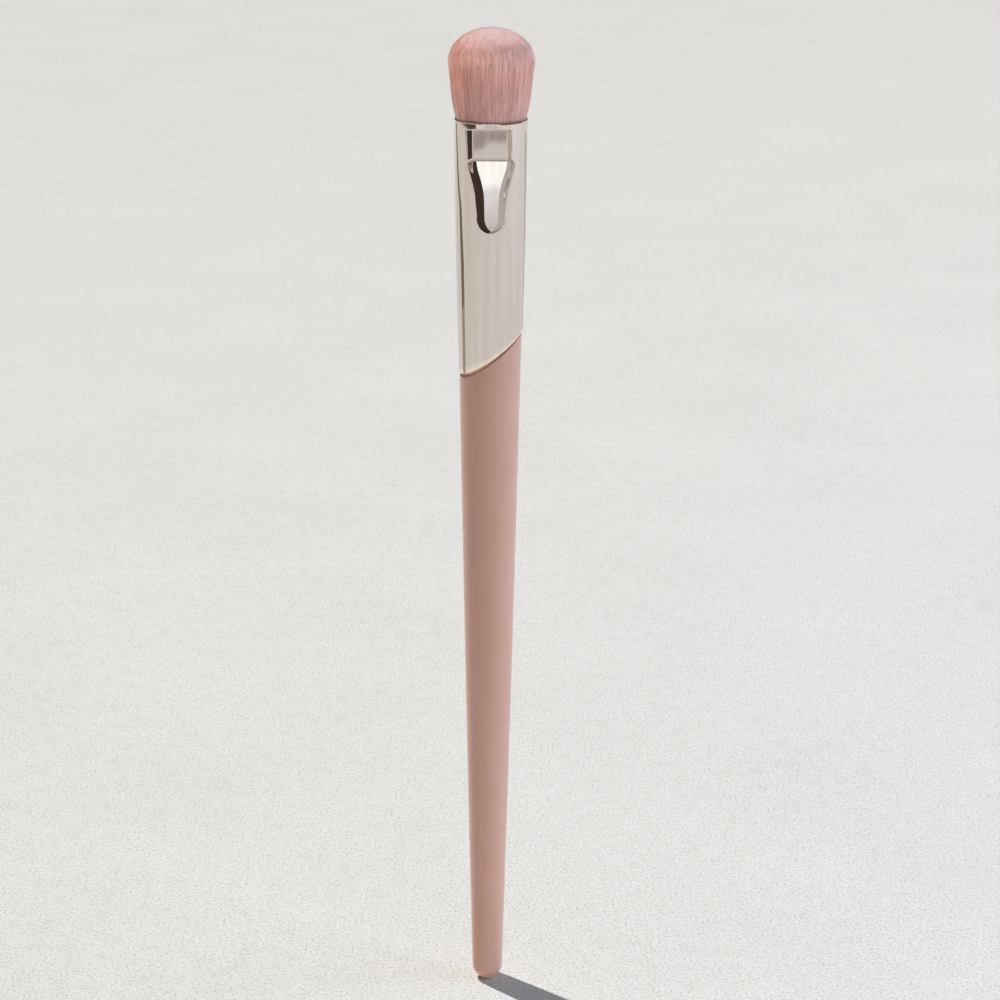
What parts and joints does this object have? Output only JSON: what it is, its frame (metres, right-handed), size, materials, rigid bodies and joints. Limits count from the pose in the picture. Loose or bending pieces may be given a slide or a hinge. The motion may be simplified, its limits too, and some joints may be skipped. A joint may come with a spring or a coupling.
{
  "type": "eyeshadow brush",
  "caption": "Slim cosmetic brush with a long tapering lacquered handle, a slant-cut plated ferrule with stamped crimps and a dense domed bristle head.",
  "frame": {"origin": "centre of the flat foot under the handle's tail, on the surface that the brush stands on", "axes": "+Z along the brush from the tail to the bristles; -Y is the front, which carries a crimp; +X is the side where the slanted joint lies higher"},
  "size_m": [0.0142, 0.0132, 0.1752],
  "materials": {
    "handle_lacquer": "opaque satin lacquer in dusty pink over turned wood, no visible grain",
    "ferrule_plating": "mirror plating in pale champagne over a thin drawn tube",
    "bristles": "soft matte synthetic filaments in pink",
    "set_bristles": "filaments set in epoxy",
    "thread": "waxed polyester thread",
    "adhesive": "cured epoxy"
  },
  "bodies": {
    "root": {"handle": "handle_lacquer", "ferrule": "ferrule_plating", "bristle_tuft": "bristles", "bristle_root": "set_bristles", "binding_thread": "thread", "root_glue": "adhesive", "handle_glue": "adhesive"}
  },
  "joints": []
}
